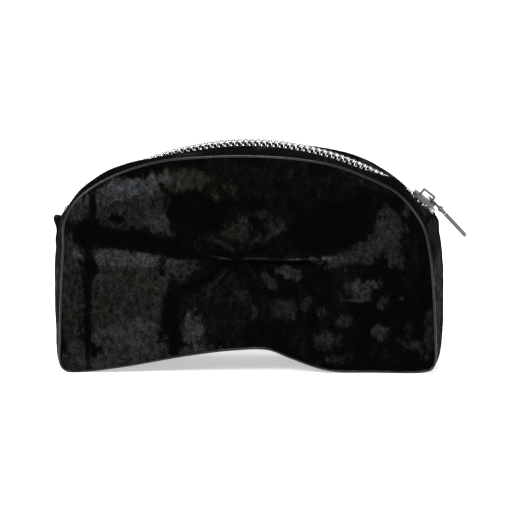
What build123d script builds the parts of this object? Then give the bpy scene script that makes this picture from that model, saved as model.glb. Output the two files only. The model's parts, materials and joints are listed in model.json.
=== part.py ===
from build123d import *
import math
import os

# A half-moon soft pouch with an arched zip along its top.
# Millimetres, +Z up. X runs along the width, and -Y faces the viewer of the front panel.
# The origin is the centre of the overall footprint, at the level the pouch stands on.

# ---- driving dimensions ----
depth = 60.0
half_width_base = 99.5
half_width_shoulder = 98.6
arch_centre_z = -30.5
arch_radius = 146.5
pouch_x = -7.2

base_corner_radius = 6.0
shoulder_radius = 5.0
left_foot_x = -81.0
right_foot_x = 44.0
apex_x = 6.0
apex_z = 12.6
foot_radius = 40.0
apex_radius = 20.0

velvet = 1.2
wadding = 2.0
lining = 0.5
ply_gap = 0.05
seam_allowance = 1.35

piping_radius = 1.2
piping_cord_radius = 0.7
piping_wall_gap = 0.05

chain_radius = 148.0
zip_end_angle = 41.2
gusset_end_gap_angle = 0.25
tape_thickness = 0.7
tape_inner_y = 2.4
tape_bend_y = 6.2
tape_outer_y = 13.5
strip_edge_drop = 3.1
top_lining_clearance = 0.2
top_lining_sag = 1.0

tooth_pitch = 3.2
tooth_length = 1.4
tooth_height = 3.0
tooth_reach = 0.7
tooth_outer_y = 4.0
tooth_slot_y = 2.3
tooth_slot = 0.8
tooth_corner_radius = 0.45
stop_inner_y = 0.4
stop_corner_radius = 0.5
first_tooth_angle = -39.6
front_tooth_count = 64
back_tooth_count = 63

slider_angle = 37.9
slider_length = 12.6
slider_half_width = 5.4
slider_plate = 1.3
slider_clearance = 0.3
slider_lip_y = 4.35
slider_lip = 1.15
wedge_start = 3.4
wedge_length = 2.0
wedge_half_width = 1.4
slider_corner_radius = 1.0

bridge_half_width = 1.1
bridge_wall = 1.1
bridge_window_height = 2.6
bridge_window_back = -2.6
bridge_window_front = 3.3
link_pivot_along = 1.7
link_pivot_height = 1.35
bridge_corner_radius = 0.88

link_dip = 8.0
link_length = 8.6
link_width = 5.2
link_wire_radius = 0.55
link_corner_radius = 0.9

tab_dip = 1.0
tab_length = 17.0
tab_width = 6.0
tab_thickness = 1.8
tab_knuckle_radius = 1.5
tab_bore_radius = 0.75
tab_knuckle_width = 3.0
tab_recess = 0.4
tab_rim = 1.1
tab_corner_radius = 1.4
tab_recess_corner_radius = 0.7
tab_neck_gap = 0.9
tab_neck_overlap = 1.0

half_depth = depth / 2
parts_folder = "parts"


# ---- planes ----
def face_plane(y):
    """A plane parallel to the front panel: local X is width, local Y is height."""
    return Plane(origin=(pouch_x, y, 0), x_dir=(1, 0, 0), z_dir=(0, -1, 0))


def arch_plane(angle, radius=0.0):
    """A plane across the zip at an angle from the top: local X is depth, local Y is outward."""
    turn = math.radians(angle)
    return Plane(
        origin=(pouch_x + radius * math.sin(turn), 0, arch_centre_z + radius * math.cos(turn)),
        x_dir=(0, 1, 0),
        z_dir=(math.cos(turn), 0, -math.sin(turn)),
    )


def swing_plane(point, slope):
    """A plane through a pull's pivot: local X is depth, local Y runs along the pull, down the slope."""
    turn = math.radians(slope)
    return Plane(
        origin=point,
        x_dir=(0, 1, 0),
        z_dir=(-math.sin(turn), 0, -math.cos(turn)),
    )


arch_axis = Axis((pouch_x, 0, arch_centre_z), (0, 1, 0))


def save(piece, name):
    """Labels a finished piece and writes it to its own file."""
    piece.label = name
    export_step(piece, f"{parts_folder}/{name}.step")


os.makedirs(parts_folder, exist_ok=True)

# ---- the outline that the gusset's outer face follows ----
shoulder_angle = math.degrees(math.asin(half_width_shoulder / arch_radius))
corner_radii = [
    ((half_width_base, 0), base_corner_radius),
    ((-half_width_base, 0), base_corner_radius),
    ((left_foot_x, 0), foot_radius),
    ((right_foot_x, 0), foot_radius),
    ((apex_x, apex_z), apex_radius),
    ((half_width_shoulder, arch_radius / 2), shoulder_radius),
    ((-half_width_shoulder, arch_radius / 2), shoulder_radius),
]
with BuildSketch() as body_outline:
    with BuildLine():
        arch = CenterArc((0, arch_centre_z), arch_radius, 90 - shoulder_angle, 2 * shoulder_angle)
        Polyline(
            arch @ 1,
            (-half_width_base, 0),
            (left_foot_x, 0),
            (apex_x, apex_z),
            (right_foot_x, 0),
            (half_width_base, 0),
            arch @ 0,
        )
    make_face()
    for corner, radius in corner_radii:
        fillet(body_outline.vertices().sort_by_distance(corner)[0], radius)


def outline(inset):
    """The body outline drawn in by a distance."""
    with BuildSketch() as shape:
        add(body_outline.sketch)
        if inset:
            offset(amount=-inset)
    return shape.sketch


def plate(inset, back_y, thickness):
    """A flat ply with the body's outline, reaching from back_y towards the front."""
    with BuildPart() as ply:
        with BuildSketch(face_plane(back_y)):
            add(outline(inset))
        extrude(amount=thickness)
    return ply.part


def wrap(inset, thickness, half_length):
    """A strip that runs down one side, under the base and up the other side, between the zip's ends."""
    mouth = math.tan(math.radians(zip_end_angle + gusset_end_gap_angle))
    low_z = 60.0
    high_z = 250.0
    with BuildPart() as strip:
        with BuildSketch(face_plane(0)):
            add(outline(inset))
            add(outline(inset + thickness), mode=Mode.SUBTRACT)
            Polygon(
                ((low_z - arch_centre_z) * mouth, low_z),
                ((high_z - arch_centre_z) * mouth, high_z),
                (-(high_z - arch_centre_z) * mouth, high_z),
                (-(low_z - arch_centre_z) * mouth, low_z),
                align=None,
                mode=Mode.SUBTRACT,
            )
        extrude(amount=half_length, both=True)
    return strip.part


def arched(points, side):
    """A strip that follows the zip's arch, from its section's (depth, radius) points on one side."""
    with BuildPart() as strip:
        with BuildSketch(arch_plane(-zip_end_angle)):
            Polygon(*[(side * y, radius) for y, radius in points], align=None)
        revolve(axis=arch_axis, revolution_arc=2 * zip_end_angle)
    return strip.part


# ---- panels, wadding and lining ----
panel_inset = 2 * piping_radius + ply_gap
wadding_inset = velvet + seam_allowance
lining_inset = velvet + seam_allowance / 2
wadding_outer = half_depth - velvet - ply_gap
lining_outer = wadding_outer - wadding - ply_gap
lining_inner = lining_outer - lining

save(plate(panel_inset, velvet - half_depth, velvet), "front_panel")
save(plate(panel_inset, half_depth, velvet), "back_panel")
save(plate(wadding_inset, wadding - wadding_outer, wadding), "front_wadding")
save(plate(wadding_inset, wadding_outer, wadding), "back_wadding")
save(plate(lining_inset, lining - lining_outer, lining), "front_lining")
save(plate(lining_inset, lining_outer, lining), "back_lining")

# ---- gusset round the sides and base ----
gusset_half_length = half_depth - 2 * piping_radius - ply_gap
save(wrap(0, velvet, gusset_half_length), "base_gusset")
save(wrap(velvet + ply_gap, lining, lining_inner - ply_gap), "base_lining")

# ---- piping: a fabric cover round a filler cord ----
for side, name in ((-1, "front"), (1, "back")):
    edge = outline(piping_radius).face().outer_wire()
    route = face_plane(side * (half_depth - piping_radius)).from_local_coords(edge)
    start = Plane(origin=route @ 0, z_dir=route % 0)

    with BuildPart() as piping:
        with BuildSketch(start):
            Circle(piping_radius)
            Circle(piping_cord_radius + piping_wall_gap, mode=Mode.SUBTRACT)
        sweep(path=route)
    save(piping.part, f"{name}_piping")

    with BuildPart() as piping_cord:
        with BuildSketch(start):
            Circle(piping_cord_radius)
        sweep(path=route)
    save(piping_cord.part, f"{name}_piping_cord")

# ---- strips beside the zip, the zip's tapes and the lining under them ----
tape_top = chain_radius + tape_thickness / 2
tape_under = chain_radius - tape_thickness / 2
strip_under = tape_top + ply_gap
strip_slope = strip_edge_drop / (gusset_half_length - tape_bend_y)
tape_drop = strip_slope * (tape_outer_y - tape_bend_y)
strip_section = [
    (gusset_half_length, strip_under - strip_edge_drop),
    (gusset_half_length, strip_under - strip_edge_drop + velvet),
    (tape_bend_y, strip_under + velvet),
    (tape_bend_y, strip_under),
]
tape_section = [
    (tape_inner_y, tape_under),
    (tape_inner_y, tape_top),
    (tape_bend_y, tape_top),
    (tape_outer_y, tape_top - tape_drop),
    (tape_outer_y, tape_under - tape_drop),
    (tape_bend_y, tape_under),
]
top_lining_inner_y = 7.0
top_lining_outer_y = lining_inner - ply_gap
top_lining_inner_radius = tape_under - top_lining_clearance
top_lining_outer_radius = strip_under - strip_edge_drop - top_lining_sag
top_lining_section = [
    (top_lining_inner_y, top_lining_inner_radius),
    (top_lining_outer_y, top_lining_outer_radius),
    (top_lining_outer_y, top_lining_outer_radius - lining),
    (top_lining_inner_y, top_lining_inner_radius - lining),
]
for side, name in ((-1, "front"), (1, "back")):
    save(arched(strip_section, side), f"top_strip_{name}")
    save(arched(tape_section, side), f"zip_tape_{name}")
    save(arched(top_lining_section, side), f"top_lining_{name}")


# ---- zip teeth and stops ----
def clamp(length, inner_y, side):
    """A metal piece clamped on a tape's edge, centred on the chain, running along local Z."""
    with BuildPart(mode=Mode.PRIVATE) as metal:
        with BuildSketch():
            with Locations((side * (tooth_outer_y + inner_y) / 2, 0)):
                RectangleRounded(tooth_outer_y - inner_y, tooth_height, tooth_corner_radius)
            with Locations((side * (tooth_outer_y + tooth_slot_y) / 2, 0)):
                Rectangle(tooth_outer_y - tooth_slot_y, tooth_slot, mode=Mode.SUBTRACT)
        extrude(amount=length / 2, both=True)
    return metal.part


pitch_angle = math.degrees(tooth_pitch / chain_radius)
teeth_rows = (
    ("front", -1, first_tooth_angle, front_tooth_count),
    ("back", 1, first_tooth_angle + pitch_angle / 2, back_tooth_count),
)
for name, side, start_angle, count in teeth_rows:
    tooth = clamp(tooth_length, -tooth_reach, side)
    with BuildPart() as teeth:
        with Locations(*[arch_plane(start_angle + i * pitch_angle, chain_radius) for i in range(count)]):
            add(tooth)
    save(teeth.part, f"zip_teeth_{name}")

top_stop_length = 2.0
top_stop_angle = 40.65
with BuildPart() as zip_top_stops:
    with Locations(arch_plane(top_stop_angle, chain_radius)):
        add(clamp(top_stop_length, stop_inner_y, -1))
        add(clamp(top_stop_length, stop_inner_y, 1))
save(zip_top_stops.part, "zip_top_stops")

bottom_stop_length = 1.6
bottom_stop_angle = -40.65
bottom_stop_half_width = tape_inner_y - ply_gap
with BuildPart() as zip_bottom_stop:
    with BuildSketch(arch_plane(bottom_stop_angle, chain_radius)):
        RectangleRounded(2 * bottom_stop_half_width, tooth_height, stop_corner_radius)
    extrude(amount=bottom_stop_length / 2, both=True)
save(zip_bottom_stop.part, "zip_bottom_stop")

# ---- folded fabric tabs that finish the zip's ends ----
end_tab_thickness = 1.6
end_tab_half_depth = 6.0
end_tab_top_z = 78.2
end_tab_bottom_z = 67.0
end_tab_reach = 10.0
for side, name in ((-1, "left"), (1, "right")):
    with BuildPart() as end_tab:
        with BuildSketch(face_plane(0)):
            add(outline(-(ply_gap + end_tab_thickness)))
            add(outline(-ply_gap), mode=Mode.SUBTRACT)
            with Locations((side * half_width_base, (end_tab_top_z + end_tab_bottom_z) / 2)):
                Rectangle(2 * end_tab_reach, end_tab_top_z - end_tab_bottom_z, mode=Mode.INTERSECT)
        extrude(amount=end_tab_half_depth, both=True)
    save(end_tab.part, f"zip_end_tab_{name}")

# ---- slider ----
plate_inner = tooth_height / 2 + slider_clearance
plate_outer = plate_inner + slider_plate
lip_centre_y = (slider_half_width + slider_lip_y) / 2
lip_width = slider_half_width - slider_lip_y
with BuildPart() as slider_body:
    with BuildSketch(arch_plane(slider_angle, chain_radius)):
        for height in (1, -1):
            with Locations((0, height * (plate_inner + plate_outer) / 2)):
                Rectangle(2 * slider_half_width, slider_plate)
            lip_height = height * (plate_inner - slider_lip / 2)
            with Locations((-lip_centre_y, lip_height), (lip_centre_y, lip_height)):
                Rectangle(lip_width, slider_lip)
    extrude(amount=slider_length / 2, both=True)
    corner_length = slider_plate + slider_lip
    corners = slider_body.edges().filter_by(lambda edge: abs(edge.length - corner_length) < 0.01)
    fillet(corners, slider_corner_radius)
    with BuildSketch(arch_plane(slider_angle, chain_radius).offset(wedge_start)):
        Rectangle(2 * wedge_half_width, 2 * plate_inner + slider_plate)
    extrude(amount=wedge_length)
save(slider_body.part, "slider_body")

slider_seat = arch_plane(slider_angle, chain_radius + plate_outer)
side_view = Plane(origin=slider_seat.origin, x_dir=slider_seat.z_dir, z_dir=-slider_seat.x_dir)
bridge_length = bridge_window_front - bridge_window_back + 2 * bridge_wall
bridge_centre = (bridge_window_front + bridge_window_back) / 2
bridge_height = bridge_window_height + bridge_wall
with BuildPart() as slider_bridge:
    with BuildSketch(side_view):
        with Locations((bridge_centre, bridge_height / 2)):
            Rectangle(bridge_length, bridge_height)
        with Locations((bridge_centre, bridge_window_height / 2)):
            Rectangle(bridge_length - 2 * bridge_wall, bridge_window_height, mode=Mode.SUBTRACT)
    extrude(amount=bridge_half_width, both=True)
    outward = Axis(slider_seat.origin, slider_seat.y_dir)
    fillet(slider_bridge.edges().filter_by(Axis.Y).sort_by(outward)[-2:], bridge_corner_radius)
save(slider_bridge.part, "slider_bridge")

# ---- pull: a wire link on the bridge, and a tab on the link ----
link_pivot = slider_seat.origin + slider_seat.z_dir * link_pivot_along + slider_seat.y_dir * link_pivot_height
link_plane = swing_plane(link_pivot, slider_angle + link_dip)
tab_pivot = link_pivot + link_plane.y_dir * link_length
tab_plane = swing_plane(tab_pivot, slider_angle + link_dip + tab_dip)

with BuildPart() as pull_link:
    with BuildSketch(link_plane) as link_loop:
        with Locations((0, link_length / 2)):
            RectangleRounded(link_width, link_length, link_corner_radius)
    loop = link_loop.sketch.face().outer_wire()
    with BuildSketch(Plane(origin=loop @ 0, z_dir=loop % 0)) as link_wire:
        Circle(link_wire_radius)
    sweep(link_wire.sketch, path=loop)
save(pull_link.part, "pull_link")

tab_plate_start = tab_knuckle_radius + tab_neck_gap
tab_plate_centre = tab_plate_start + tab_length / 2
knuckle_view = Plane(origin=tab_pivot, x_dir=tab_plane.y_dir, z_dir=(0, -1, 0))
with BuildPart() as pull_tab:
    with BuildSketch(tab_plane):
        with Locations((0, tab_plate_centre)):
            RectangleRounded(tab_width, tab_length, tab_corner_radius)
        with Locations((0, (tab_plate_start + tab_neck_overlap) / 2)):
            Rectangle(tab_knuckle_width, tab_plate_start + tab_neck_overlap)
    extrude(amount=tab_thickness / 2, both=True)
    with BuildSketch(knuckle_view):
        Circle(tab_knuckle_radius)
    extrude(amount=tab_knuckle_width / 2, both=True)
    with BuildSketch(knuckle_view):
        Circle(tab_bore_radius)
    extrude(amount=tab_width, both=True, mode=Mode.SUBTRACT)
    for face_side in (-1, 1):
        with BuildSketch(tab_plane.offset(face_side * (tab_thickness / 2 - tab_recess))):
            with Locations((0, tab_plate_centre)):
                RectangleRounded(tab_width - 2 * tab_rim, tab_length - 2 * tab_rim, tab_recess_corner_radius)
        extrude(amount=face_side * tab_thickness, mode=Mode.SUBTRACT)
save(pull_tab.part, "pull_tab")
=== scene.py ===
import json
import math

import bmesh
import bpy
import numpy as np
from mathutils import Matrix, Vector, noise


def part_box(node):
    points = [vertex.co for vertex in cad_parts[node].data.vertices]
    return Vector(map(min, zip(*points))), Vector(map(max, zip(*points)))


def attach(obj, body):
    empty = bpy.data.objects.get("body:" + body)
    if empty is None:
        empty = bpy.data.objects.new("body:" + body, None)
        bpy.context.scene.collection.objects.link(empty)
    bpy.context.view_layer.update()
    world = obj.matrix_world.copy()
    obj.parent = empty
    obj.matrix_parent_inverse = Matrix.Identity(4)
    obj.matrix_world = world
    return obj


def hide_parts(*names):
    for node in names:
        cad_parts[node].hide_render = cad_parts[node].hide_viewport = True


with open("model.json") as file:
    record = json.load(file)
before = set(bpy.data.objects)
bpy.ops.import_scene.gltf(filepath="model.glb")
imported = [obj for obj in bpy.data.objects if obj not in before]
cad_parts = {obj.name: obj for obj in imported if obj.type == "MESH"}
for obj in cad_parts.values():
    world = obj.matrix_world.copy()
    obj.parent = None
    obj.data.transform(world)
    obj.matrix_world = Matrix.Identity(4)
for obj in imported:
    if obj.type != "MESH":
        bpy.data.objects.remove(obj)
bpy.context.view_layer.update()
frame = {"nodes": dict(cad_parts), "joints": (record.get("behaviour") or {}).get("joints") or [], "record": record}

# Lengths in the lists below are in millimetres, and mm turns them into Blender's metres.
mm = 0.001

# ---- camera: slightly above the bag, square to its front ----
camera_elevation = math.radians(8.4)
camera_azimuth = math.radians(1.0)
camera_distance = 1.62
camera_lens = 220.0
camera_target = Vector((-0.0028, -0.030, 0.0618))

camera_data = bpy.data.cameras.new("camera")
camera_data.lens = camera_lens
camera = bpy.data.objects.new("camera", camera_data)
bpy.context.scene.collection.objects.link(camera)
camera.location = camera_target + camera_distance * Vector((
    math.sin(camera_azimuth) * math.cos(camera_elevation),
    -math.cos(camera_azimuth) * math.cos(camera_elevation),
    math.sin(camera_elevation),
))
camera.rotation_euler = (camera_target - camera.location).to_track_quat("-Z", "Y").to_euler()
bpy.context.scene.camera = camera

# ---- the frame's own sizes ----
travel = next(joint for joint in frame["joints"] if joint["name"] == "slider_travel")
arch_centre = np.array(travel["pos_m"]) / mm
pouch_x = arch_centre[0]
half_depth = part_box("back_panel")[1].y / mm

# ---- the bag's own sizes: radii, thicknesses, and depths below the face above ----
zip_end_angle = 41.2
chain_radius = 148.0
piping_radius = 0.72
cord_radius = 0.5
piping_y = half_depth - 1.2
piping_stand = 0.2
velvet_thickness = 1.1
lining_thickness = 0.5
panel_crown = 3.6
crown_reach = 8.0
edge_tuck = 0.9
wadding_top = 1.3
wadding_bottom = 3.2
lining_top = 3.3
backing_inset = 1.5
panel_seam_inset = 0.1
roll_radius = 0.55
strip_lining_depth = 2.2
tape_depth = 1.25
tape_thickness = 0.5

# ---- outlines, clockwise seen from the front, from the zip's left end: x from the middle, then height ----
zip_keys = 12
front_keys = [
    (-94.8, 79.0), (-88.7, 90.0), (-76.3, 99.6), (-61.9, 106.1), (-43.8, 110.9), (-20.0, 113.1),
    (5.0, 113.4), (28.0, 111.7), (45.0, 108.6), (60.0, 103.2), (76.0, 95.4), (84.5, 86.8),
    (91.2, 76.0), (94.6, 61.0), (96.5, 40.0), (97.5, 18.0), (97.6, 6.6), (95.8, 2.7), (90.8, 1.2),
    (64.0, 1.2), (46.0, 1.4), (36.0, 3.4), (22.0, 8.5), (10.5, 12.8), (-6.7, 12.6), (-31.5, 9.5),
    (-64.0, 3.7), (-84.0, 1.1), (-93.6, 0.95), (-97.2, 4.0), (-97.5, 20.0), (-96.7, 44.0), (-95.4, 66.0),
]
back_top_keys = [
    (-93.6, 77.5), (-88.0, 86.5), (-76.5, 94.5), (-62.0, 101.0), (-44.0, 107.0), (-20.0, 111.3),
    (5.0, 112.4), (28.0, 111.2), (46.0, 108.6), (62.0, 103.8), (77.0, 95.6), (86.0, 86.8),
    (91.4, 77.0),
]
back_keys = back_top_keys + front_keys[len(back_top_keys):]
gusset_middle_keys = [
    (97.9, 80.2), (102.0, 62.0), (102.9, 40.0), (102.3, 18.0), (100.8, 6.6), (97.4, 1.4), (90.5, 0.35),
    (64.0, 0.1), (46.0, 0.4), (36.0, 2.6), (22.0, 7.8), (10.5, 12.1), (-6.7, 11.9), (-31.5, 8.8),
    (-64.0, 3.1), (-84.0, 0.5), (-94.6, 0.6), (-100.0, 4.4), (-101.4, 20.0), (-102.3, 44.0),
    (-101.0, 66.0), (-97.9, 80.4),
]


def closed_curve(keys, places):
    """Points on a smooth closed curve through keys, at places counted in keys."""
    keys = np.array(keys, float)
    count = len(keys)
    gaps = np.sqrt(np.linalg.norm(np.roll(keys, -1, axis=0) - keys, axis=1))[:, None]
    slopes = (np.roll(keys, -1, axis=0) - keys) / gaps
    before_gap = np.roll(gaps, 1, axis=0)
    tangents = (np.roll(slopes, 1, axis=0) * gaps + slopes * before_gap) / (gaps + before_gap)
    first = np.floor(places).astype(int) % count
    second = (first + 1) % count
    share = (places - np.floor(places))[:, None]
    gap = gaps[first]
    return (
        (2 * share**3 - 3 * share**2 + 1) * keys[first]
        + (share**3 - 2 * share**2 + share) * gap * tangents[first]
        + (3 * share**2 - 2 * share**3) * keys[second]
        + (share**3 - share**2) * gap * tangents[second]
    )


def open_curve(keys, places):
    """Points on a smooth curve from the first key to the last."""
    keys = np.array(keys, float)
    before = 2 * keys[0] - keys[1]
    after = 2 * keys[-1] - keys[-2]
    just_before_end = len(keys) - 1.000001
    return closed_curve(np.concatenate([[before], keys, [after]]), np.clip(places, 0, just_before_end) + 1)


def even_places(keys, count, start, end):
    """Places between two keys that are evenly spaced along the curve."""
    fine_steps = 4000
    fine = np.linspace(start, end, fine_steps)
    points = closed_curve(keys, fine)
    run = np.concatenate([[0], np.cumsum(np.linalg.norm(np.diff(points, axis=0), axis=1))])
    return np.interp(np.linspace(0, run[-1], count), run, fine)


def along_chain(fraction, radius):
    """Points (x from the middle, height) on the zip's arch, from its left end to its right."""
    angle = np.radians(-zip_end_angle + 2 * zip_end_angle * fraction)
    return np.stack([radius * np.sin(angle), arch_centre[2] + radius * np.cos(angle)], axis=-1)


def ripple(points, size, seed):
    """Smooth noise from -1 to 1 at each point, with features about size millimetres across."""
    shift = Vector((seed * 17.3, seed * 5.1, seed * 9.7))
    return np.array([noise.noise(Vector(point) / size + shift) for point in points])


def smooth_step(low, high, value):
    """0 below low, 1 above high, and smooth between."""
    share = np.clip((value - low) / (high - low), 0, 1)
    return share * share * (3 - 2 * share)


# ---- mesh making ----
def grid_faces(rows, columns, closed):
    """Quads of a grid of points stored row by row; closed joins the last column to the first."""
    faces = []
    for row in range(rows - 1):
        for column in range(columns if closed else columns - 1):
            after = (column + 1) % columns
            faces.append((row * columns + column, row * columns + after,
                          (row + 1) * columns + after, (row + 1) * columns + column))
    return faces


def new_piece(name, points, faces, nap_and_painted_light=None):
    """A smooth-shaded object from points in millimetres, centred on the pouch's own middle."""
    mesh = bpy.data.meshes.new(name)
    places = np.array(points, float) + np.array([pouch_x, 0, 0])
    mesh.from_pydata((places * mm).tolist(), [], faces)
    mesh.update()
    if nap_and_painted_light is not None:
        mesh.attributes.new("nap_and_painted_light", "FLOAT", "POINT").data.foreach_set("value", nap_and_painted_light.astype(np.float32))
    shell = bmesh.new()
    shell.from_mesh(mesh)
    merge_distance = 0.001 * mm
    bmesh.ops.remove_doubles(shell, verts=shell.verts, dist=merge_distance)
    bmesh.ops.recalc_face_normals(shell, faces=shell.faces)
    shell.to_mesh(mesh)
    shell.free()
    mesh.shade_smooth()
    piece = bpy.data.objects.new(name, mesh)
    bpy.context.scene.collection.objects.link(piece)
    return piece


def closed_sheet(name, outer, inner, rows, columns, closed, nap_and_painted_light=None):
    """Cloth with thickness: an outer and an inner grid of points, joined round their open edges.

    A closed grid is a set of rings round a middle, and its smallest ring is filled in.
    """
    count = rows * columns
    outer_faces = grid_faces(rows, columns, closed)
    faces = outer_faces + [tuple(count + corner for corner in reversed(face)) for face in outer_faces]
    first = list(range(columns))
    last = [(rows - 1) * columns + column for column in range(columns)]
    if closed:
        faces += [tuple(first), tuple(count + corner for corner in reversed(first))]
    for rim in ([last] if closed else [first, last]):
        pairs = zip(rim, rim[1:] + ([rim[0]] if closed else []))
        faces += [(a, b, count + b, count + a) for a, b in pairs]
    if not closed:
        for column in (0, columns - 1):
            edge = [row * columns + column for row in range(rows)]
            faces += [(a, b, count + b, count + a) for a, b in zip(edge, edge[1:])]
    both = None if nap_and_painted_light is None else np.concatenate([nap_and_painted_light, nap_and_painted_light])
    return new_piece(name, np.concatenate([outer, inner]), faces, both)


def tube(name, path, radius, sides):
    """A round tube along a closed path of 3-D points."""
    ahead = np.roll(path, -1, axis=0) - np.roll(path, 1, axis=0)
    ahead /= np.linalg.norm(ahead, axis=1)[:, None]
    across = np.cross(ahead, np.array((0, 1, 0)))
    across /= np.linalg.norm(across, axis=1)[:, None]
    up = np.cross(across, ahead)
    turns = np.linspace(0, 2 * math.pi, sides, endpoint=False)
    rings = [path + radius * (math.cos(turn) * across + math.sin(turn) * up) for turn in turns]
    faces = grid_faces(sides, len(path), True)
    last = (sides - 1) * len(path)
    for column in range(len(path)):
        after = (column + 1) % len(path)
        faces.append((last + column, last + after, after, column))
    return new_piece(name, np.concatenate(rings), faces)


# ---- the front panel's gather ----
gather = np.array([-2.0, 61.0])
# Each crease: its direction from the gather in degrees, depth, width, and how far it reaches.
creases = [
    (168.5, 2.4, 3.4, 105), (181, 0.8, 3.0, 60), (193, 1.3, 3.0, 70), (209, 1.8, 2.6, 40),
    (228, 1.0, 2.6, 28), (156, 0.7, 2.6, 34), (24, 2.0, 4.0, 100), (7, 0.8, 2.4, 60),
    (-6, 1.3, 2.4, 80), (-19, 1.6, 2.8, 50), (-36, 1.2, 2.8, 40), (41, 0.7, 2.4, 26),
    (71, 0.35, 1.4, 10), (118, 0.45, 1.6, 13), (246, 0.9, 1.7, 20), (263, 0.5, 1.4, 12),
    (286, 0.6, 1.5, 14), (312, 1.1, 2.2, 28),
]
dimple_depth = 0.35
dimple_radius = 16.0
crease_wobble = 0.9
crest_share = 0.38
crest_offset = 1.9
ridge_height = 0.8
slit_depth = 0.9
slit_drop = 1.5


def gather_depth(x, z):
    """How far the gather draws the front panel in (positive) or lifts it (negative) at a point."""
    dx, dz = x - gather[0], z - gather[1]
    reach = np.hypot(dx, dz)
    depth = dimple_depth * np.exp(-(reach / dimple_radius) ** 2)
    for direction, deep, wide, far in creases:
        turn = math.radians(direction)
        along = dx * math.cos(turn) + dz * math.sin(turn)
        aside = -dx * math.sin(turn) + dz * math.cos(turn)
        aside = aside + crease_wobble * np.sin(along / 9 + direction)
        width = wide * (0.35 + np.clip(along, 0, 80) / 48)
        fade = smooth_step(1.0, 9.0, along) * (1 - smooth_step(far * 0.45, far, along))
        valley = np.exp(-(aside / width) ** 2)
        crest = np.exp(-((np.abs(aside) - crest_offset * width) / width) ** 2)
        depth += deep * fade * (valley - crest_share * crest)
    return depth


def tuck_shares(x, z):
    """How much of the thin ridge that stands along the gather, and of the slit under it, is at a point."""
    dx = x - gather[0]
    line = gather[1] - 0.4 + 2.4 * (1 - smooth_step(-26, -4, dx)) + 0.25 * np.sin(dx / 5)
    ends = smooth_step(-28, -22, dx) * (1 - smooth_step(34, 52, dx))
    ridge = ends * np.exp(-((z - line) / 0.55) ** 2)
    slit = ends * np.exp(-((z - line + slit_drop) / 0.9) ** 2)
    return ridge, slit


def tuck_lift(x, z):
    """How far the ridge stands out, less how deep the slit is."""
    ridge, slit = tuck_shares(x, z)
    return ridge_height * ridge - slit_depth * slit


# Patches where the pile is brushed over and looks silvery. The thin bright one at (38, 60.4) is a painted
# highlight along the gather's ridge.
# Each has its middle's x and z, half width, half height, tilt in degrees, and how silvery it is.
silvery_patches_and_ridge_highlight = [
    (-18, 38, 22, 20, 0, 0.25), (-4, 70, 34, 6, 0, 0.22), (-6, 101, 26, 10, 0, 0.24),
    (-91, 40, 6.5, 40, 1, 0.42), (-87, 86, 7, 6, 45, 0.46), (-61, 88, 21, 13, 4, 0.42),
    (-62, 97, 22, 6, 14, 0.62), (-33, 101, 13, 6, 0, 0.46), (-42, 79, 9, 7, -10, 0.50),
    (-62, 36, 21, 31, -6, 0.44), (-60, 61, 23, 5, -4, 0.62), (-36, 55, 12, 6, -8, 0.50),
    (-44, 44, 6, 8, 20, 0.48), (-62, 21, 16, 8, 12, 0.54), (-47, 18, 6, 9, 0, 0.52),
    (-64, 7, 34, 6, 4, 0.52), (-88, 8, 9, 9, 0, 0.45), (-28, 23, 6, 9, 0, 0.58), (-24, 12, 14, 3, 3, 0.50),
    (-20, 42, 7, 6, 20, 0.30), (-13, 30, 6, 10, 0, 0.26), (-8, 75, 6, 6, 20, 0.40),
    (-8, 97, 4, 3, 0, 0.38), (-18, 92, 3, 4, 0, 0.46), (-2, 78, 3, 7, 0, 0.42),
    (6, 84, 6, 1.8, 0, 0.36), (13, 78, 5, 4, 0, 0.36), (7, 71, 4, 2.5, 0, 0.36),
    (20, 54, 10, 3.0, -18, 0.52), (12, 49, 5, 2.6, -45, 0.42), (-3, 41, 4, 4, 0, 0.42),
    (4, 34, 2.5, 3.5, 0, 0.42), (20, 34, 6.5, 6, 0, 0.40), (31, 37, 3, 3.5, 0, 0.42),
    (38, 34, 3.2, 3.2, 0, 0.42), (50, 28, 4, 3, 0, 0.44), (42, 17, 6, 5, 0, 0.44),
    (46, 8, 5, 3, 0, 0.42), (52, 61, 13, 4.5, 8, 0.47), (63, 69, 9, 8, 35, 0.45),
    (73, 77, 8, 11, 30, 0.48), (76, 66, 4, 8, 0, 0.44), (82, 86, 4, 3, 40, 0.46),
    (59, 45, 8, 4.5, 0, 0.54), (70, 38, 3, 3, 0, 0.46), (57, 39, 7, 1, 0, 0.50),
    (68, 22, 5, 4, 0, 0.50), (85, 15, 6, 3.5, -15, 0.46), (84, 25, 2, 6, -10, 0.34),
    # (38, 60.4, 9, 1.8, 0, 0.72) is a painted highlight along the gather's ridge.
    (94, 20, 3.5, 12, 0, 0.42), (80, 40, 1.6, 1.6, 0, 0.38), (38, 60.4, 9, 1.8, 0, 0.72),
    (60, 101, 14, 2.5, -25, 0.28), (12, 97, 1.8, 14, 0, 0.24), (37, 96, 2, 9, 0, 0.24),
]
# Places that stay dark, written the same way, with how dark at the end. The first two lie along the long crease
# running left from the gather, and the one at (-25, 50) along the crease running down-left: these are painted
# shade in the creases.
dark_and_crease_shade_patches = [
    (-62, 69.5, 26, 4, -11, 1.0), (-33, 63.5, 18, 2.4, -7, 1.0), (-83, 71, 4, 5, 0, 0.8),
    (-82.5, 52, 1.5, 22, 0, 0.75), (-83, 16, 1.2, 13, 0, 0.8), (-68, 81.5, 4, 2.2, 0, 1.0),
    (-80, 88, 1.5, 6, 0, 0.9), (-27, 83, 14, 12, 0, 0.9), (-41, 34, 3.4, 14, -14, 0.8),
    (-38, 19, 2.6, 9, 0, 0.9), (-25, 50, 13, 3.4, 38, 0.9), (44, 76, 22, 11, 20, 0.9),
]


base_nap = 0.10
# Strengths of the painted highlight on the gather's ridge and crests, and of the painted shade in its slit.
ridge_painted_highlight, crest_painted_highlight, slit_painted_shade = 0.45, 0.38, 0.3


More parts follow.
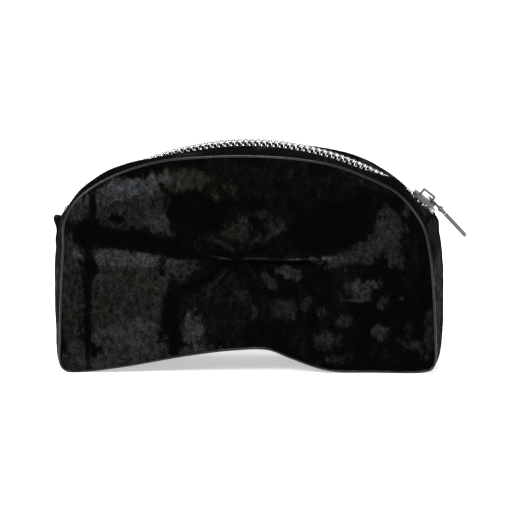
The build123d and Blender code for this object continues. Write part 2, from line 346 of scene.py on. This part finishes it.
def patch_mask(x, z, ragged, patch):
    """1 inside a tilted ellipse with a ragged edge, 0 outside it."""
    middle_x, middle_z, wide, high, tilt = patch[:5]
    turn = math.radians(tilt)
    along = ((x - middle_x) * math.cos(turn) + (z - middle_z) * math.sin(turn)) / wide
    aside = (-(x - middle_x) * math.sin(turn) + (z - middle_z) * math.cos(turn)) / high
    small = min(wide, high)
    edge = np.hypot(along, aside) + ragged * min(0.6, 2.6 / small)
    soft = min(0.5, 2.0 / small)
    return 1 - smooth_step(1 - soft, 1 + soft, edge)


def patchy_nap_and_painted_light(points):
    """How much the front panel's pile is brushed over, from 0, dark, to 1, silvery, with painted shade along some
    creases and a painted highlight on part of the gather's ridge.
    """
    x, z = points[:, 0], points[:, 2]
    ragged = ripple(points * np.array([1.3, 1, 0.7]), size=8, seed=6)
    ragged += ripple(points * np.array([1.3, 1, 0.7]), size=3.2, seed=7)
    ragged += 0.6 * ripple(points * np.array([1.2, 1, 0.8]), size=1.5, seed=8)
    value = base_nap + 0.22 * ripple(points * np.array([1, 1, 0.6]), size=16, seed=4)
    value += 0.18 * ripple(points * np.array([1.2, 1, 0.6]), size=5, seed=5)
    for patch in silvery_patches_and_ridge_highlight:
        mask = patch_mask(x, z, ragged, patch)
        value = value * (1 - mask) + np.maximum(value, patch[5]) * mask
    # Some of these darken the gather's creases as painted shade.
    for patch in dark_and_crease_shade_patches:
        value *= 1 - patch[5] * patch_mask(x, z, ragged, patch)
    return np.clip(value, 0, 1)


def gather_painted_light(points):
    """Painted light along the gather: a painted highlight on its ridge and crests, and painted shade in its slit.
    """
    x, z = points[:, 0], points[:, 2]
    ridge, slit = tuck_shares(x, z)
    fading_radius, upright_squeeze = 34, 1.6
    near = np.exp(-(np.hypot(x - gather[0], (z - gather[1]) * upright_squeeze) / fading_radius) ** 2)
    crest_highlight_share = np.clip(-gather_depth(x, z), 0, 1) * near
    uneven = 0.7 + 0.3 * np.sin(x / 3.1)
    return ridge_painted_highlight * ridge * uneven + crest_painted_highlight * crest_highlight_share - slit_painted_shade * slit


def crushed_nap(points, seed):
    """A plain stretch of crushed velvet: scattered brushed areas of uneven size."""
    broad = ripple(points * np.array([1, 1, 1.3]), size=24, seed=seed)
    small = ripple(points * np.array([1.2, 1, 0.8]), size=9, seed=seed + 1)
    ragged = ripple(points * np.array([1.3, 1, 0.7]), size=3, seed=seed + 2)
    brushed = smooth_step(0.02, 0.30, broad + 0.45 * small + 0.28 * ragged)
    return np.clip(base_nap + 0.50 * brushed + 0.10 * small, 0, 1)


def spokes(keys, columns, rows, shrink):
    """A panel's grid: rings of points from the gather out to the outline, drawn in by shrink."""
    places = even_places(keys, columns + 1, 0, len(keys))[:-1]
    rim = closed_curve(keys, places)
    reach = np.linalg.norm(rim - gather, axis=1)
    rim = gather + (rim - gather) * (1 - shrink / reach)[:, None]
    smallest_share, ring_spread = 0.0016, 0.92
    shares = np.linspace(smallest_share, 1, rows) ** ring_spread
    flat = gather + shares[:, None, None] * (rim - gather)[None]
    to_rim = ((1 - shares)[:, None] * np.linalg.norm(rim - gather, axis=1)[None]).ravel() + shrink
    return flat[..., 0].ravel(), flat[..., 1].ravel(), to_rim


def panel_lift(x, z, to_rim, side, gathered):
    """How far a panel's face stands out from the piping's plane."""
    here = np.stack([x, np.full_like(x, side * 10.0), z], axis=1)
    crumple = 0.55 * ripple(here * np.array([0.8, 1, 1.3]), size=15, seed=3 + side)
    crumple += 0.22 * ripple(here, size=5.5, seed=8 + side)
    lift = panel_crown * (1 - np.exp(-to_rim / crown_reach)) - edge_tuck
    lift += crumple * smooth_step(0, 10, to_rim)
    if gathered:
        lift += smooth_step(1, 14, to_rim) * (tuck_lift(x, z) - gather_depth(x, z))
    return np.maximum(lift, -edge_tuck)


def panel(name, keys, side, gathered):
    """A cushioned panel whose edge runs under the piping. side is -1 for the front and 1 for the back."""
    columns, rows = 520, 120
    x, z, to_rim = spokes(keys, columns, rows, 0)
    lift = panel_lift(x, z, to_rim, side, gathered)
    outer = np.stack([x, side * (half_depth - panel_seam_inset + lift), z], axis=1)
    fine = 0.09 * ripple(outer, size=2.2, seed=12 + side) * smooth_step(0, 6, to_rim)
    outer[:, 1] += side * fine
    inner = outer - np.array([0, side * velvet_thickness, 0])
    flat = outer * np.array([1, 0, 1])
    if gathered:
        # The front panel's nap is its pile's patches plus the gather's painted highlight and painted shade.
        nap_and_painted_light = np.clip(patchy_nap_and_painted_light(flat) + gather_painted_light(flat), 0, 1)
    else:
        nap_and_painted_light = crushed_nap(flat, seed=71)
    return closed_sheet(name, outer, inner, rows, columns, True, nap_and_painted_light)


def panel_backing(name, keys, side, gathered, top, bottom, crowned):
    """A layer behind a panel: wadding, crowned like the panel, or flat lining."""
    columns, rows = 200, 44
    x, z, to_rim = spokes(keys, columns, rows, backing_inset)
    lift = panel_lift(x, z, to_rim, side, gathered) if crowned else 0 * x
    outer = np.stack([x, side * (half_depth - top + lift), z], axis=1)
    inner = np.stack([x, np.full_like(x, side * (half_depth - bottom)), z], axis=1)
    return closed_sheet(name, outer, inner, rows, columns, True)


front_panel = panel("front_panel_velvet", front_keys, -1, gathered=True)
back_panel = panel("back_panel_velvet", back_keys, 1, gathered=False)
front_wadding = panel_backing(
    "front_wadding_pad", front_keys, -1, gathered=True, top=wadding_top, bottom=wadding_bottom, crowned=True)
back_wadding = panel_backing(
    "back_wadding_pad", back_keys, 1, gathered=False, top=wadding_top, bottom=wadding_bottom, crowned=True)
lining_place = {"top": lining_top, "bottom": lining_top + lining_thickness, "crowned": False}
front_lining = panel_backing("front_lining_cloth", front_keys, -1, gathered=False, **lining_place)
back_lining = panel_backing("back_lining_cloth", back_keys, 1, gathered=False, **lining_place)


# ---- gusset ----
def gusset_layer(name, top, bottom, reach, napped):
    """A layer of the strip round the sides and base, crowned between the two pipings.

    top and bottom are how deep its two faces lie, and reach is how far it goes to the front and back.
    """
    rows, columns = 34, 420
    places = even_places(front_keys, columns, zip_keys, len(front_keys))
    near = closed_curve(front_keys, places)
    far = closed_curve(back_keys, places)
    middle = open_curve(gusset_middle_keys, places - zip_keys)
    across = np.linspace(0, 1, rows)[:, None, None]
    crown = np.sin(math.pi * across) ** 0.55
    flat = near * (1 - across) + far * across + (middle - (near + far) / 2) * crown
    y = np.broadcast_to(reach * (2 * across - 1), flat.shape[:2] + (1,))
    points = np.concatenate([flat[..., :1], y, flat[..., 1:]], axis=2)
    tangent = np.gradient(middle, axis=0)
    normal = np.stack([tangent[:, 1], -tangent[:, 0]], axis=1)
    normal /= -np.linalg.norm(normal, axis=1)[:, None]
    here = points.reshape(-1, 3)
    dents = 0.5 * ripple(here, size=16, seed=21) + 0.15 * ripple(here, size=5, seed=22)
    dents = dents.reshape(rows, columns)
    dents *= np.sin(math.pi * across[..., 0]) * smooth_step(6, 16, points[..., 2])
    outer = points.copy()
    inner = points.copy()
    for grid, depth in ((outer, top), (inner, bottom)):
        grid[..., 0] += (dents - depth) * normal[:, 0]
        grid[..., 2] += (dents - depth) * normal[:, 1]
    # The gusset's nap starts at 0.36, a painted sheen that makes the whole gusset lighter than the panels.
    nap_and_painted_light = 0.36 + 0.4 * crushed_nap(here, seed=31) if napped else None
    return closed_sheet(name, outer.reshape(-1, 3), inner.reshape(-1, 3), rows, columns, False, nap_and_painted_light)


gusset_velvet = gusset_layer(
    "base_gusset_velvet", top=0, bottom=1.0, reach=piping_y, napped=True)
base_lining = gusset_layer(
    "base_lining_cloth", top=1.2, bottom=1.2 + lining_thickness, reach=piping_y - 2.5, napped=False)


# ---- velvet strips beside the zip, with the tape and lining under them ----
lip_y = 6.3
lip_radius = chain_radius - 0.9
tape_radius = chain_radius - 1.05
strip_swell = 1.1
# Fuller places at the shoulders, by side: how high, how far along the zip, and how wide.
shoulder_swells = {-1: [(3.6, 0.15, 0.12), (3.4, 0.88, 0.06)], 1: [(1.9, 0.76, 0.12)]}


def strip_face(keys, side, rows, columns):
    """The outer face of a top strip, from the piping up to its folded lip, and which way is out."""
    places = even_places(keys, columns, 0, zip_keys)
    edge = closed_curve(keys, places)
    fraction = np.linspace(0, 1, columns)
    lip = along_chain(fraction, lip_radius)
    share = np.linspace(0, 1, rows)[:, None, None]
    flat = edge * (1 - share) + lip * share
    outward = along_chain(fraction, 1.0) - along_chain(fraction, 0.0)
    swell = strip_swell
    for height, place, width in shoulder_swells[side]:
        swell = swell + height * np.exp(-((fraction - place) / width) ** 2)
    flat = flat + swell[None, :, None] * np.sin(math.pi * share) ** 0.75 * outward
    y = np.broadcast_to(side * (piping_y + (lip_y - piping_y) * share), flat.shape[:2] + (1,))
    face = np.concatenate([flat[..., :1], y, flat[..., 1:]], axis=2)
    here = face.reshape(-1, 3)
    dents = 0.35 * ripple(here, size=12, seed=41 + side) + 0.12 * ripple(here, size=4, seed=43)
    dents = dents.reshape(rows, columns)
    dents *= np.sin(math.pi * share[..., 0])
    face[..., 0] += dents * outward[:, 0]
    face[..., 2] += dents * outward[:, 1]
    return face, outward


def sunk(face, outward, depth):
    """A copy of a strip's face moved in by depth."""
    grid = face.copy()
    grid[..., 0] -= depth * outward[:, 0]
    grid[..., 2] -= depth * outward[:, 1]
    return grid


def top_strip(name, keys, side):
    """The velvet strip, with a rolled edge beside the teeth."""
    rows, columns = 30, 300
    face, outward = strip_face(keys, side, rows, columns)
    roll_steps = 5
    roll = []
    for step in range(1, roll_steps + 1):
        turn = math.pi * step / roll_steps
        ring = sunk(face[-1:], outward, roll_radius * (1 - math.cos(turn)))
        ring[..., 1] -= side * roll_radius * math.sin(turn)
        roll.append(ring)
    outer = np.concatenate([face] + roll[:-1])
    folded = np.repeat(roll[-1], roll_steps - 1, axis=0)
    inner = np.concatenate([sunk(face, outward, velvet_thickness), folded])
    here = outer.reshape(-1, 3)
    nap_and_painted_light = 0.75 * crushed_nap(here, seed=45 + side)
    return closed_sheet(name, here, inner.reshape(-1, 3), len(outer), columns, False, nap_and_painted_light)


def top_lining(name, keys, side):
    """The lining under a strip and its tape."""
    rows, columns = 16, 160
    face, outward = strip_face(keys, side, rows, columns)
    outer = sunk(face, outward, strip_lining_depth)
    inner = sunk(outer, outward, lining_thickness)
    return closed_sheet(name, outer.reshape(-1, 3), inner.reshape(-1, 3), rows, columns, False)


def zip_tape(name, keys, side):
    """A woven tape: flat beside the teeth, then on under the strip."""
    rows, columns = 30, 300
    face, outward = strip_face(keys, side, rows, columns)
    first_covered_row = 14
    covered = sunk(face[first_covered_row:], outward, tape_depth)[::-1]
    bare_rows = 5
    bare_start_y, bare_end_y = 2.4, lip_y - 0.3
    lip = along_chain(np.linspace(0, 1, columns), tape_radius)
    bare = np.zeros((bare_rows, columns, 3))
    bare[..., 0] = lip[:, 0]
    bare[..., 1] = side * np.linspace(bare_start_y, bare_end_y, bare_rows)[:, None]
    bare[..., 2] = lip[:, 1]
    outer = np.concatenate([bare, covered])
    inner = sunk(outer, outward, tape_thickness)
    return closed_sheet(name, outer.reshape(-1, 3), inner.reshape(-1, 3), len(outer), columns, False)


top_strip_front = top_strip("top_strip_front_velvet", front_keys, -1)
top_strip_back = top_strip("top_strip_back_velvet", back_keys, 1)
top_lining_front = top_lining("top_lining_front_cloth", front_keys, -1)
top_lining_back = top_lining("top_lining_back_cloth", back_keys, 1)
tape_front = zip_tape("zip_tape_front_weave", front_keys, -1)
tape_back = zip_tape("zip_tape_back_weave", back_keys, 1)


# ---- piping ----
def piping(name, keys, side, radius):
    """A round tube along a panel's outline: the satin cover or the cord inside it."""
    count, sides = 620, 14
    places = even_places(keys, count + 1, 0, len(keys))[:-1]
    line = closed_curve(keys, places)
    y = np.full(count, side * (piping_y + piping_stand))
    path = np.stack([line[:, 0], y, line[:, 1]], axis=1)
    return tube(name, path, radius, sides)


front_piping = piping("front_piping_satin", front_keys, -1, piping_radius)
back_piping = piping("back_piping_satin", back_keys, 1, piping_radius)
front_cord = piping("front_piping_cord_core", front_keys, -1, cord_radius)
back_cord = piping("back_piping_cord_core", back_keys, 1, cord_radius)


# ---- zip teeth ----
tooth_pitch = 3.2
first_tooth_angle = -39.6
teeth_count = 64
pitch_angle = math.degrees(tooth_pitch / chain_radius)


def teeth_row(name, side, first_angle, count):
    """One row of scooped metal teeth, each clamped on its tape's edge."""
    half_outline = [(0.95, 4.1), (1.0, 2.4), (0.66, 1.2), (0.70, -0.2), (0.45, -0.75)]
    outline = [(-0.95, 4.1)] + half_outline + [(-along, across) for along, across in half_outline[:0:-1]]
    half_height = 1.5
    hollow_rim, hollow_depth = 0.42, -0.3
    rounding = 0.22
    one = bmesh.new()
    rims = []
    for level in (-half_height, half_height):
        rims.append([one.verts.new((along, level, across)) for along, across in outline])
    one.faces.new(rims[0])
    one.faces.new(list(reversed(rims[1])))
    for i in range(len(outline)):
        j = (i + 1) % len(outline)
        one.faces.new((rims[0][j], rims[0][i], rims[1][i], rims[1][j]))
    bmesh.ops.recalc_face_normals(one, faces=one.faces)
    leg_end = max(one.faces, key=lambda face: face.calc_center_median().z)
    bmesh.ops.inset_region(one, faces=[leg_end], thickness=hollow_rim, depth=hollow_depth)
    bmesh.ops.bevel(one, geom=one.edges[:], offset=rounding, segments=2, affect="EDGES", clamp_overlap=True)
    shape = np.array([vert.co for vert in one.verts])
    quads = [tuple(vert.index for vert in face.verts) for face in one.faces]
    one.free()
    points, faces = [], []
    for i in range(count):
        turn = math.radians(first_angle + i * pitch_angle)
        radius = chain_radius + shape[:, 1]
        x = radius * math.sin(turn) + shape[:, 0] * math.cos(turn)
        z = arch_centre[2] + radius * math.cos(turn) - shape[:, 0] * math.sin(turn)
        points.append(np.stack([x, side * shape[:, 2], z], axis=1))
        faces += [tuple(corner + i * len(shape) for corner in quad) for quad in quads]
    return new_piece(name, np.concatenate(points), faces)


teeth_front = teeth_row("zip_teeth_front_metal", -1, first_tooth_angle, teeth_count)
teeth_back = teeth_row("zip_teeth_back_metal", 1, first_tooth_angle + pitch_angle / 2, teeth_count - 1)


# ---- folded cloth tabs at the zip's ends ----
def end_tab(name, section):
    """A short tab of folded velvet at one end of the zip, from its outline seen from the front."""
    count, rows, half_width = 44, 13, 5.8
    places = np.arange(count) * len(section) / count
    line = closed_curve(section, places)
    middle = line.mean(axis=0)
    across = np.linspace(-1, 1, rows)
    round_off = np.sqrt(np.clip(1 - np.abs(across) ** 5, 0, 1))
    grid = np.zeros((rows, count, 3))
    flat = middle + (line - middle)[None] * (0.35 + 0.65 * round_off)[:, None, None]
    grid[..., 0] = flat[..., 0]
    grid[..., 1] = half_width * across[:, None]
    grid[..., 2] = flat[..., 1]
    points = grid.reshape(-1, 3)
    points = points + 0.18 * ripple(points, size=3.5, seed=61)[:, None] * np.array([1, 0, 0.6])
    faces = grid_faces(rows, count, True)
    faces.append(tuple(range(count)))
    faces.append(tuple((rows - 1) * count + i for i in reversed(range(count))))
    # The 0.2 added to the tabs' nap is a painted sheen that makes them lighter grey.
    return new_piece(name, points, faces, crushed_nap(points, seed=51) + 0.2)


tab_left_section = [
    (-98.8, 59.5), (-101.2, 62.0), (-101.7, 67.0), (-101.2, 72.0), (-102.5, 78.6), (-100.4, 78.9),
    (-98.2, 77.8), (-98.8, 74.0), (-98.8, 68.0),
]
tab_right_section = [
    (97.9, 63.0), (98.2, 69.0), (97.8, 75.0), (96.4, 78.6), (97.6, 79.8), (99.4, 78.0),
    (100.2, 74.0), (100.0, 68.0), (99.2, 64.0),
]
tab_left = end_tab("zip_end_tab_left_velvet", tab_left_section)
tab_right = end_tab("zip_end_tab_right_velvet", tab_right_section)

# ---- who stands for what, and what it rides on ----
replaced = [
    (front_panel, "front_panel", "velvet"),
    (back_panel, "back_panel", "velvet"),
    (gusset_velvet, "base_gusset", "velvet"),
    (top_strip_front, "top_strip_front", "velvet"),
    (top_strip_back, "top_strip_back", "velvet"),
    (front_piping, "front_piping", "piping_cloth"),
    (back_piping, "back_piping", "piping_cloth"),
    (teeth_front, "zip_teeth_front", "chain_metal"),
    (teeth_back, "zip_teeth_back", "chain_metal"),
    (front_wadding, "front_wadding", "wadding"),
    (back_wadding, "back_wadding", "wadding"),
    (front_lining, "front_lining", "lining"),
    (back_lining, "back_lining", "lining"),
    (base_lining, "base_lining", "lining"),
    (top_lining_front, "top_lining_front", "lining"),
    (top_lining_back, "top_lining_back", "lining"),
    (front_cord, "front_piping_cord", "filler_cord"),
    (back_cord, "back_piping_cord", "filler_cord"),
    (tape_front, "zip_tape_front", "zip_tape"),
    (tape_back, "zip_tape_back", "zip_tape"),
    (tab_left, "zip_end_tab_left", "velvet"),
    (tab_right, "zip_end_tab_right", "velvet"),
]
for piece, node, slot in replaced:
    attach(piece, "pouch")
    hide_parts(node)


# ---- materials ----
def new_material(name):
    """A node material with its tree and its shader."""
    material = bpy.data.materials.new(name)
    material.use_nodes = True
    tree = material.node_tree
    shader = tree.nodes["Principled BSDF"]
    return material, tree, shader


def add_node(tree, kind, **settings):
    """A node of one kind with its settings made."""
    node = tree.nodes.new(kind)
    for key, value in settings.items():
        setattr(node, key, value)
    return node


def noise_node(tree, scale, detail, rough=0.5, stretch=(1, 1, 1)):
    """Noise fixed to the object; stretch scales it along each axis."""
    place = add_node(tree, "ShaderNodeTexCoord")
    mapping = add_node(tree, "ShaderNodeMapping")
    mapping.inputs["Scale"].default_value = stretch
    texture = add_node(tree, "ShaderNodeTexNoise")
    texture.inputs["Scale"].default_value = scale
    texture.inputs["Detail"].default_value = detail
    texture.inputs["Roughness"].default_value = rough
    tree.links.new(place.outputs["Object"], mapping.inputs["Vector"])
    tree.links.new(mapping.outputs["Vector"], texture.inputs["Vector"])
    return texture.outputs["Fac"]


def math_node(tree, operation, *values):
    """A Math node on sockets or numbers."""
    node = add_node(tree, "ShaderNodeMath", operation=operation)
    for socket, value in zip(node.inputs, values):
        if isinstance(value, (int, float)):
            socket.default_value = value
        else:
            tree.links.new(value, socket)
    return node.outputs[0]


def ramp_node(tree, factor, stops):
    """A colour ramp through (place, colour) stops."""
    node = add_node(tree, "ShaderNodeValToRGB")
    ramp = node.color_ramp
    while len(ramp.elements) < len(stops):
        ramp.elements.new(0.5)
    for element, (place, colour) in zip(ramp.elements, stops):
        element.position = place
        element.color = (*colour, 1)
    tree.links.new(factor, node.inputs["Fac"])
    return node.outputs["Color"]


def bump_node(tree, shader, height, strength, distance):
    """Feeds a height to the shader's normal."""
    node = add_node(tree, "ShaderNodeBump")
    node.inputs["Strength"].default_value = strength
    node.inputs["Distance"].default_value = distance
    tree.links.new(height, node.inputs["Height"])
    tree.links.new(node.outputs["Normal"], shader.inputs["Normal"])


def velvet_material():
    """Black crushed velvet: dark pile, speckled silvery patches where it lies over, and the painted highlight,
    shade and sheen its nap attribute carries.
    """
    material, tree, shader = new_material("crushed_velvet")
    # The nap attribute holds the pile's patches and also painted light: painted highlight and painted shade along
    # the front panel's gather and creases, and painted sheen that lightens the gusset and end tabs.
    nap_and_painted_light = add_node(tree, "ShaderNodeAttribute", attribute_name="nap_and_painted_light").outputs["Fac"]
    clump_noise = noise_node(tree, scale=420, detail=5, rough=0.65, stretch=(1, 1, 0.7))
    clumps = math_node(tree, "SUBTRACT", clump_noise, 0.5)
    speckle_noise = noise_node(tree, scale=1500, detail=3, rough=0.75, stretch=(1, 1, 0.8))
    speckle = math_node(tree, "SUBTRACT", speckle_noise, 0.5)
    grain = math_node(tree, "MULTIPLY_ADD", clumps, 1.5, math_node(tree, "MULTIPLY", speckle, 1.7))
    brushed = math_node(tree, "MAXIMUM", math_node(tree, "SUBTRACT", nap_and_painted_light, 0.48), 0.0)
    amount = math_node(tree, "MULTIPLY_ADD", brushed, 2.4, 0.5)
    value = math_node(tree, "MULTIPLY_ADD", grain, amount, nap_and_painted_light)
    colour = ramp_node(tree, value, [
        (0.0, (0.0009, 0.0009, 0.0008)),
        (0.28, (0.0018, 0.0018, 0.0016)),
        (0.42, (0.0050, 0.0049, 0.0044)),
        (0.56, (0.0112, 0.0112, 0.0109)),
        (0.80, (0.0235, 0.0248, 0.0280)),
        (1.0, (0.046, 0.050, 0.059)),
    ])
    tint_noise = noise_node(tree, scale=45, detail=2)
    tint = ramp_node(tree, tint_noise, [(0.38, (1.0, 0.95, 0.88)), (0.62, (0.93, 0.97, 1.0))])
    tinted = add_node(tree, "ShaderNodeMix", data_type="RGBA", blend_type="MULTIPLY")
    tinted.inputs["Factor"].default_value = 1.0
    tree.links.new(colour, tinted.inputs["A"])
    tree.links.new(tint, tinted.inputs["B"])
    tree.links.new(tinted.outputs["Result"], shader.inputs["Base Color"])
    shader.inputs["Roughness"].default_value = 0.8
    shader.inputs["Specular IOR Level"].default_value = 0.0
    shader.inputs["Sheen Weight"].default_value = 0.013
    shader.inputs["Sheen Roughness"].default_value = 0.3
    shader.inputs["Sheen Tint"].default_value = (0.75, 0.80, 0.90, 1)
    height = math_node(tree, "MULTIPLY_ADD", clumps, 0.8, speckle)
    bump_node(tree, shader, height, strength=0.8, distance=0.0007)
    return material


def satin_material():
    """Smooth black satin over the piping cord, with a fine grain."""
    material, tree, shader = new_material("piping_satin")
    weave = noise_node(tree, scale=2200, detail=2)
    shade = noise_node(tree, scale=120, detail=3)
    colour = ramp_node(tree, shade, [(0.3, (0.0020, 0.0020, 0.0022)), (0.7, (0.0038, 0.0038, 0.0042))])
    tree.links.new(colour, shader.inputs["Base Color"])
    rough = math_node(tree, "MULTIPLY_ADD", weave, 0.2, 0.12)
    tree.links.new(rough, shader.inputs["Roughness"])
    shader.inputs["Specular IOR Level"].default_value = 0.22
    bump_node(tree, shader, weave, strength=0.25, distance=0.0002)
    return material


def woven_material(name, dark, light, scale, rough):
    """A plain weave for tapes, lining, wadding and cord."""
    material, tree, shader = new_material(name)
    place = add_node(tree, "ShaderNodeTexCoord")
    waves = []
    for direction in ("X", "Y"):
        wave = add_node(tree, "ShaderNodeTexWave", bands_direction=direction)
        wave.inputs["Scale"].default_value = scale
        tree.links.new(place.outputs["Object"], wave.inputs["Vector"])
        waves.append(wave.outputs["Fac"])
    weave = math_node(tree, "MULTIPLY", waves[0], waves[1])
    patchy = noise_node(tree, scale=90, detail=3)
    mixed = math_node(tree, "MULTIPLY_ADD", weave, 0.4, math_node(tree, "MULTIPLY", patchy, 0.6))
    tree.links.new(ramp_node(tree, mixed, [(0.15, dark), (0.75, light)]), shader.inputs["Base Color"])
    shader.inputs["Roughness"].default_value = rough
    bump_node(tree, shader, weave, strength=0.4, distance=0.0002)
    return material


def metal_material(name, bright, rough):
    """Polished nickel with faint scuffs."""
    material, tree, shader = new_material(name)
    scuffs = noise_node(tree, scale=700, detail=4, rough=0.6)
    cloudy = noise_node(tree, scale=160, detail=2)
    low = tuple(0.82 * channel for channel in bright)
    tree.links.new(ramp_node(tree, cloudy, [(0.3, low), (0.7, bright)]), shader.inputs["Base Color"])
    shader.inputs["Metallic"].default_value = 1.0
    tree.links.new(math_node(tree, "MULTIPLY_ADD", scuffs, 0.16, rough), shader.inputs["Roughness"])
    bump_node(tree, shader, scuffs, strength=0.08, distance=0.0001)
    return material


finishes = {
    "velvet": velvet_material(),
    "piping_cloth": satin_material(),
    "filler_cord": woven_material("cotton_cord", (0.45, 0.42, 0.36), (0.75, 0.72, 0.65), 900, 0.9),
    "wadding": woven_material("wadding_fibre", (0.62, 0.62, 0.60), (0.82, 0.82, 0.80), 260, 0.95),
    "lining": woven_material("lining_satin", (0.008, 0.008, 0.009), (0.03, 0.03, 0.033), 1200, 0.45),
    "zip_tape": woven_material("zip_tape_weave", (0.006, 0.006, 0.006), (0.022, 0.022, 0.023), 1100, 0.75),
    "chain_metal": metal_material("nickel_teeth", (0.44, 0.44, 0.43), 0.16),
    "slider_metal": metal_material("nickel_slider", (0.105, 0.105, 0.103), 0.2),
}
for piece, _, slot in replaced:
    piece.data.materials.append(finishes[slot])
hidden = {node for _, node, _ in replaced}
slot_of = {entry["node"]: entry["material_slot"] for entry in frame["record"]["subparts"]}
for node, carried in frame["nodes"].items():
    if node in hidden:
        continue
    for material_slot in carried.material_slots:
        material_slot.material = finishes[slot_of[node]]

# ---- floor and light ----
floor_mesh = bpy.data.meshes.new("floor")
floor_reach = 12.0
floor_mesh.from_pydata(
    [(-floor_reach, -floor_reach, 0), (floor_reach, -floor_reach, 0),
     (floor_reach, floor_reach, 0), (-floor_reach, floor_reach, 0)],
    [], [(0, 1, 2, 3)],
)
floor = bpy.data.objects.new("floor", floor_mesh)
bpy.context.scene.collection.objects.link(floor)
floor_material, _, floor_shader = new_material("floor_white")
floor_shader.inputs["Base Color"].default_value = (0.92, 0.92, 0.92, 1)
floor_shader.inputs["Roughness"].default_value = 0.9
floor_shader.inputs["Emission Color"].default_value = (1, 1, 1, 1)
floor_shader.inputs["Emission Strength"].default_value = 0.5
floor_mesh.materials.append(floor_material)

world = bpy.data.worlds.new("studio")
bpy.context.scene.world = world
world.use_nodes = True
world.node_tree.nodes["Background"].inputs["Color"].default_value = (1, 1, 1, 1)
world.node_tree.nodes["Background"].inputs["Strength"].default_value = 0.6


def softbox(name, place, aim, size, power):
    """A square area light at a place, aimed at a point."""
    data = bpy.data.lights.new(name, "AREA")
    data.size = size
    data.energy = power
    light = bpy.data.objects.new(name, data)
    bpy.context.scene.collection.objects.link(light)
    light.location = place
    light.rotation_euler = (Vector(aim) - Vector(place)).to_track_quat("-Z", "Y").to_euler()


middle = (0, 0, 0.06)
softbox("key_left", place=(-0.75, -0.75, 0.75), aim=middle, size=0.5, power=16)
softbox("top", place=(0.0, -0.35, 1.1), aim=middle, size=0.35, power=12)
softbox("right_rim", place=(0.9, -0.2, 0.45), aim=middle, size=0.3, power=4)
bpy.context.scene.view_settings.view_transform = "Standard"
